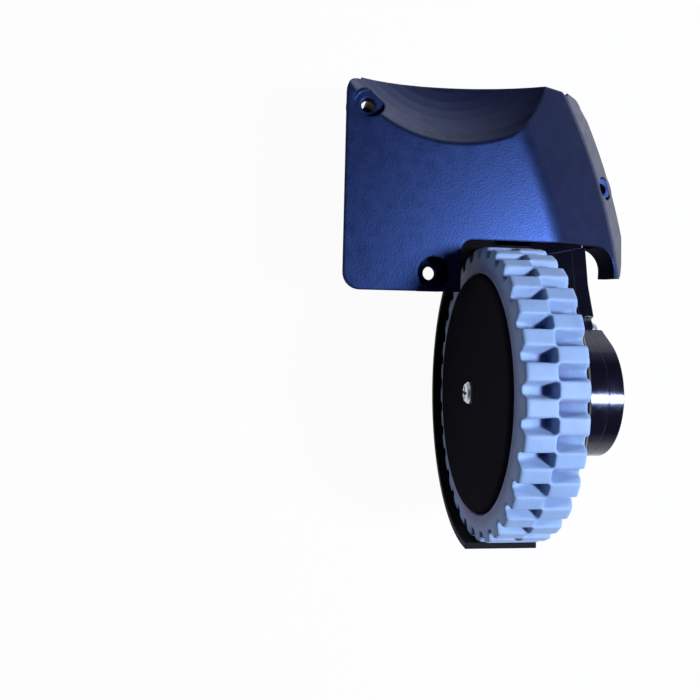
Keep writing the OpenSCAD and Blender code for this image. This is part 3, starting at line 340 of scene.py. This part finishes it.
def metal(name, body, stained, roughness, grain_mm=0.3, stretch=(1, 1, 1)):
    """A bare metal. A small share in stretch draws its fine lines out along that axis."""
    material, tree, place = start_material(name)
    drawn = add(tree, "ShaderNodeMapping", {"Vector": place, "Scale": stretch})
    lines = add(tree, "ShaderNodeTexNoise", {"Vector": drawn.outputs["Vector"],
                                             "Scale": per_mm(grain_mm), "Detail": 6.0,
                                             "Roughness": 0.6})
    stains = add(tree, "ShaderNodeTexNoise", {"Vector": place, "Scale": per_mm(STAIN_MM),
                                              "Detail": 5.0})
    tone = add(tree, "ShaderNodeMapRange", {"Value": stains.outputs["Fac"], "From Min": 0.35,
                                            "From Max": 0.7, "To Min": 0.0, "To Max": 0.5})
    colour = add(tree, "ShaderNodeMix", {"Factor": tone.outputs["Result"], "A": linear(body),
                                         "B": linear(stained)}, data_type="RGBA")
    gloss = add(tree, "ShaderNodeMapRange", {"Value": lines.outputs["Fac"], "From Min": 0.3,
                                             "From Max": 0.7, "To Min": roughness - 0.06,
                                             "To Max": roughness + 0.08})
    bump = add(tree, "ShaderNodeBump", {"Height": lines.outputs["Fac"], "Strength": 1.0,
                                        "Distance": LINE_DEPTH_MM * MM})
    close_material(tree, {"Base Color": colour.outputs["Result"], "Metallic": 1.0,
                          "Roughness": gloss.outputs["Result"],
                          "Normal": bump.outputs["Normal"]})
    return material


ALONG_AXLE = (1, 0.05, 1)
ACROSS_AXLE = (0.05, 1, 0.05)
screw_zinc = metal("zinc_plated_steel", "#D2D6DE", "#AEB3C0", 0.38)
ground_steel = metal("ground_steel", "#B7B9C0", "#A2A4AB", 0.2, 0.15, ACROSS_AXLE)
spring_wire = metal("drawn_spring_wire", "#8F939C", "#6D7078", 0.34)
plated_sheet = metal("plated_motor_sheet", "#A8ABB2", "#8B8E96", 0.32, 0.4, ALONG_AXLE)
turned_brass = metal("turned_brass", "#C9A35A", "#9C7A3C", 0.3, 0.15, ACROSS_AXLE)
winding_copper = metal("enamelled_copper", "#9A4F2B", "#6E351C", 0.35, 0.35, ALONG_AXLE)
print("materials", len(bpy.data.materials) - packed_materials)

# %% [markdown]
# ## Board and magnet
# The encoder's board is glass-fibre laminate under green solder mask, smooth
# with a faint weave showing through. Real threads lie half a millimetre apart.
# Here they are drawn six times as coarse, so that a close view shows them.
# Ferrite magnets are pressed and sintered powder: grey, dull, a little gritty,
# so they share the pressed finish of the rubber.

# %% Solder mask and ferrite
THREAD_MM = 0.5
WAVE_RADIANS = 20


def woven_board(name, mask, weave):
    """A printed board. Blender's wave texture turns by WAVE_RADIANS in each unit."""
    material, tree, place = start_material(name)
    threads = [add(tree, "ShaderNodeTexWave", {"Vector": place, "Distortion": 0.4,
                                               "Scale": per_mm(THREAD_MM) / WAVE_RADIANS},
                   bands_direction=way)
               for way in ("X", "Z")]
    crossed = add(tree, "ShaderNodeMath", {0: threads[0].outputs["Fac"],
                                           1: threads[1].outputs["Fac"]}, operation="MULTIPLY")
    colour = add(tree, "ShaderNodeMix", {"Factor": crossed.outputs["Value"], "A": linear(mask),
                                         "B": linear(weave)}, data_type="RGBA")
    close_material(tree, {"Base Color": colour.outputs["Result"], "Roughness": 0.25, "IOR": 1.52})
    return material


board_mask = woven_board("board_green_solder_mask", "#0E4A2A", "#1B6A40")
ferrite = pressed_matt("sintered_ferrite", "#34353A", "#4A4B50")
print("materials in all", len(bpy.data.materials) - packed_materials)

# %% [markdown]
# ## Dressing the solids
# Each solid keeps its place and its mesh. Its material slots are given the
# finish of the real piece, from one table that lists the pieces of each
# finish. Nothing may be left in the plain colour of the CAD model, so the
# cell prints the solids that the table forgot.

# %% Finishes for the pieces
FINISHES = {
    plate_abs: ["cover_plate"],
    case_abs: ["gear_case", "gear_case_cover"],
    shell_abs: ["wheel_arch", "motor_cover"],
    bracket_nylon: ["suspension_bracket"],
    cap_abs: ["hub_cap", "wheel_rim"],
    switch_pbt: ["drop_switch"],
    nylon: ["motor_end_cap", "encoder_socket"],
    acetal: ["idler_gear", "reduction_gear_one", "reduction_gear_two", "output_gear"],
    tyre_rubber: ["tyre"],
    stop_rubber: ["bump_stop"],
    screw_zinc: ["case_screws", "arch_screws", "hub_screw", "bracket_screws", "motor_screws",
                 "motor_cover_screws", "board_screws", "drop_switch_lever"],
    ground_steel: ["axle", "gear_pins", "motor_shaft", "inner_bearing", "outer_bearing"],
    spring_wire: ["torsion_spring", "axle_clip"],
    plated_sheet: ["motor_can"],
    turned_brass: ["swing_bushes", "motor_pinion", "motor_terminals"],
    winding_copper: ["motor_armature"],
    board_mask: ["encoder_board"],
    ferrite: ["motor_magnets", "encoder_magnet"],
}
for finish, names in FINISHES.items():
    for name in names:
        slots = nodes[name].material_slots
        for slot in slots:
            slot.material = finish
        if not slots:
            nodes[name].data.materials.append(finish)
undressed = sorted(set(nodes) - {n for names in FINISHES.values() for n in names})
print("undressed solids", undressed)

# %% [markdown]
# ## Softened shapes
# A mould never leaves a perfectly sharp edge. The plastic pieces have their
# edges rounded by the Bevel node in their finish, and the hub cap, whose rim
# the camera sees from close by, gets a real bevel. Rubber is rounder all over,
# in the grooves' corners too. The tyre is therefore remeshed into small even
# cells and then smoothed for a few rounds, which no edge bevel could do on
# lugs that meet at such odd angles.

# %% Bevel for the cap, rounding for the tyre
EDGE_ANGLE = math.radians(35)


def soften(name, width_mm, segments=2):
    """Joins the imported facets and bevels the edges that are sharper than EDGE_ANGLE."""
    piece = nodes[name]
    weld = piece.modifiers.new("weld", "WELD")
    weld.merge_threshold = 0.002 * MM
    faces = piece.modifiers.new("join_facets", "DECIMATE")
    faces.decimate_type = "DISSOLVE"
    faces.angle_limit = math.radians(0.5)
    bevel = piece.modifiers.new("soft_edge", "BEVEL")
    bevel.width = width_mm * MM
    bevel.segments = segments
    bevel.limit_method = "ANGLE"
    bevel.angle_limit = EDGE_ANGLE
    bevel.use_clamp_overlap = True
    bevel.harden_normals = True


def relax(name, cell_mm, rounds):
    """Rounds a rubber piece all over: a fine even mesh, then smoothed."""
    piece = nodes[name]
    even = piece.modifiers.new("even_mesh", "REMESH")
    even.mode = "VOXEL"
    even.voxel_size = cell_mm * MM
    even.use_smooth_shade = True
    smooth = piece.modifiers.new("rounding", "SMOOTH")
    smooth.factor = 0.5
    smooth.iterations = rounds


soften("hub_cap", width_mm=0.15)
relax("tyre", cell_mm=0.32, rounds=3)
print("modifiers on the tyre", [m.name for m in nodes["tyre"].modifiers])

# %% [markdown]
# ## The dark web
# Between the wheel arch and the round motor housing a thin dark web is added,
# which fills the slit there with painted shade. It follows both round
# walls, so its outline is worked out from their radii and centres, row by row
# from the top down. Both walls belong to the swing arm, and so does the web.

# %% Web between the arch and the motor housing
WEB_INSET = 0.5 * MM


def shade_web(top_mm, deep_mm, steps=6):
    """A dark web of painted shade, whose top lies top_mm above the swing axis, and which is
    deep_mm deep.
    """
    arch_low, arch_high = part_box("wheel_arch")
    bush_low, bush_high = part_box("swing_bushes")
    swing = (bush_low + bush_high) / 2
    arch_r = HUB.z - arch_low.z
    housing_r = swing.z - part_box("motor_cover")[0].z
    front, back = arch_low.y + WEB_INSET, arch_high.y - WEB_INSET
    sheet = bmesh.new()
    rows = []
    for i in range(steps + 1):
        z = swing.z + (top_mm - deep_mm * i / steps) * MM
        near_housing = swing.x + math.sqrt(housing_r ** 2 - (z - swing.z) ** 2)
        near_arch = HUB.x - math.sqrt(arch_r ** 2 - (HUB.z - z) ** 2)
        rows.append([sheet.verts.new((x, y, z)) for y in (front, back)
                     for x in (near_housing, near_arch)])
    for upper, lower in zip(rows, rows[1:]):
        for a, b in ((0, 1), (1, 3), (3, 2), (2, 0)):
            sheet.faces.new((upper[a], upper[b], lower[b], lower[a]))
    sheet.faces.new([rows[0][k] for k in (0, 2, 3, 1)])
    sheet.faces.new([rows[-1][k] for k in (0, 1, 3, 2)])
    bmesh.ops.recalc_face_normals(sheet, faces=sheet.faces)
    mesh = bpy.data.meshes.new("shade_web")
    sheet.to_mesh(mesh)
    sheet.free()
    mesh.materials.append(shell_abs)
    piece = bpy.data.objects.new("shade_web", mesh)
    bpy.context.scene.collection.objects.link(piece)
    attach(piece, "swing_arm")
    return piece


# A dark web that puts painted shade into the slit between arch and housing.
web = shade_web(top_mm=3.2, deep_mm=2.4)
print("web size in mm", [round(v / MM, 1) for v in web.dimensions])

# %% [markdown]
# ## The floor
# The photograph's ground is plain white. The floor is pale paper that takes
# the part's soft shadow and throws light back up at it. To the camera, and in
# reflections, most of it is a plain white glow instead, so the picture's
# ground is white without any lamp being turned up.

# %% White paper floor
FLOOR_HALF = 2.5
GLOW_SHARE = 0.96


def stage_floor():
    """Lays the paper under the part's lowest point."""
    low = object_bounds()[0]
    mesh = bpy.data.meshes.new("studio_floor")
    corners = [(x * FLOOR_HALF, y * FLOOR_HALF, low.z)
               for x, y in ((-1, -1), (1, -1), (1, 1), (-1, 1))]
    mesh.from_pydata(corners, [], [(0, 1, 2, 3)])
    ground = bpy.data.objects.new("studio_floor", mesh)
    bpy.context.scene.collection.objects.link(ground)
    material, tree, _ = start_material("studio_paper")
    paper = add(tree, "ShaderNodeBsdfDiffuse", {"Color": linear("#D8D8E0")})
    white = add(tree, "ShaderNodeEmission", {"Color": (1, 1, 1, 1), "Strength": 1.0})
    path = add(tree, "ShaderNodeLightPath")
    glossy = add(tree, "ShaderNodeMath", {0: path.outputs["Is Camera Ray"],
                                          1: path.outputs["Is Glossy Ray"]}, operation="MAXIMUM")
    shown = add(tree, "ShaderNodeMath", {0: glossy.outputs["Value"],
                                         1: path.outputs["Is Transmission Ray"]},
                operation="MAXIMUM")
    share = add(tree, "ShaderNodeMath", {0: shown.outputs["Value"], 1: GLOW_SHARE},
                operation="MULTIPLY")
    seen = add(tree, "ShaderNodeMixShader", {0: share.outputs["Value"], 1: paper.outputs["BSDF"],
                                             2: white.outputs["Emission"]})
    add(tree, "ShaderNodeOutputMaterial", {"Surface": seen.outputs["Shader"]})
    mesh.materials.append(material)
    ground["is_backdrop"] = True
    return ground


floor = stage_floor()
print("floor height in mm", round(floor.data.vertices[0].co.z / MM, 1))

# %% [markdown]
# ## Sky and lamp
# The shadows in the photograph all fall one way, so one strong light stood
# high on the wheel's outer side, as a window does. The plate beside the tyre
# lies in its shadow and is nearly black, so little light came from above.
# The sky is therefore dim overhead, with a paler band along the horizon that
# is brightest on the window's side. It fades between two heights, where 0 is
# the horizon and 1 is straight up.

# %% Dim sky and window lamp
WINDOW_WAY = (0.5, 0.86, 0)
BAND_FROM, BAND_TO = 0.08, 0.4
SIDE_SPREAD = 0.7
MIDDLE = (5, 10, 0)


def stage_sky(overhead, window_side, far_side):
    """A sky of three tones: one overhead, and two along the horizon."""
    world = bpy.data.worlds.new("studio_sky")
    world.use_nodes = True
    tree = world.node_tree
    tree.nodes.clear()
    way = add(tree, "ShaderNodeTexCoord").outputs["Generated"]
    height = add(tree, "ShaderNodeSeparateXYZ", {"Vector": way})
    towards = add(tree, "ShaderNodeVectorMath", {0: way, 1: WINDOW_WAY},
                  operation="DOT_PRODUCT")
    climb = add(tree, "ShaderNodeMapRange", {"Value": height.outputs["Z"], "From Min": BAND_FROM,
                                             "From Max": BAND_TO, "To Min": 0.0, "To Max": 1.0},
                interpolation_type="SMOOTHSTEP")
    across = add(tree, "ShaderNodeMapRange", {"Value": towards.outputs["Value"],
                                              "From Min": -SIDE_SPREAD, "From Max": SIDE_SPREAD,
                                              "To Min": 0.0, "To Max": 1.0},
                 interpolation_type="SMOOTHSTEP")
    horizon = add(tree, "ShaderNodeMix", {"Factor": across.outputs["Result"],
                                          "A": linear(far_side), "B": linear(window_side)},
                  data_type="RGBA")
    shade = add(tree, "ShaderNodeMix", {"Factor": climb.outputs["Result"],
                                        "A": horizon.outputs["Result"],
                                        "B": linear(overhead)}, data_type="RGBA")
    sky = add(tree, "ShaderNodeBackground", {"Color": shade.outputs["Result"], "Strength": 1.0})
    add(tree, "ShaderNodeOutputWorld", {"Surface": sky.outputs["Background"]})
    bpy.context.scene.world = world


def hang_lamp(name, place_mm, target_mm, size_mm, watts, colour):
    """Hangs a square lamp that faces target_mm."""
    data = bpy.data.lights.new(name, "AREA")
    data.size = size_mm * MM
    data.energy = watts
    data.color = linear(colour)[:3]
    lamp = bpy.data.objects.new(name, data)
    lamp.location = Vector(place_mm) * MM
    aim = (Vector(target_mm) - Vector(place_mm)).to_track_quat("-Z", "Y")
    lamp.rotation_euler = aim.to_euler()
    bpy.context.scene.collection.objects.link(lamp)
    return lamp


stage_sky(overhead="#2C303E", window_side="#B4B9C8", far_side="#8A8E9A")
window = hang_lamp("window_lamp", (28, 218, 370), MIDDLE, size_mm=80, watts=2.8,
                   colour="#DCE7FF")
bpy.context.scene.view_settings.view_transform = "Standard"
print("lamp", window.name, "at mm", [round(v / MM) for v in window.location])
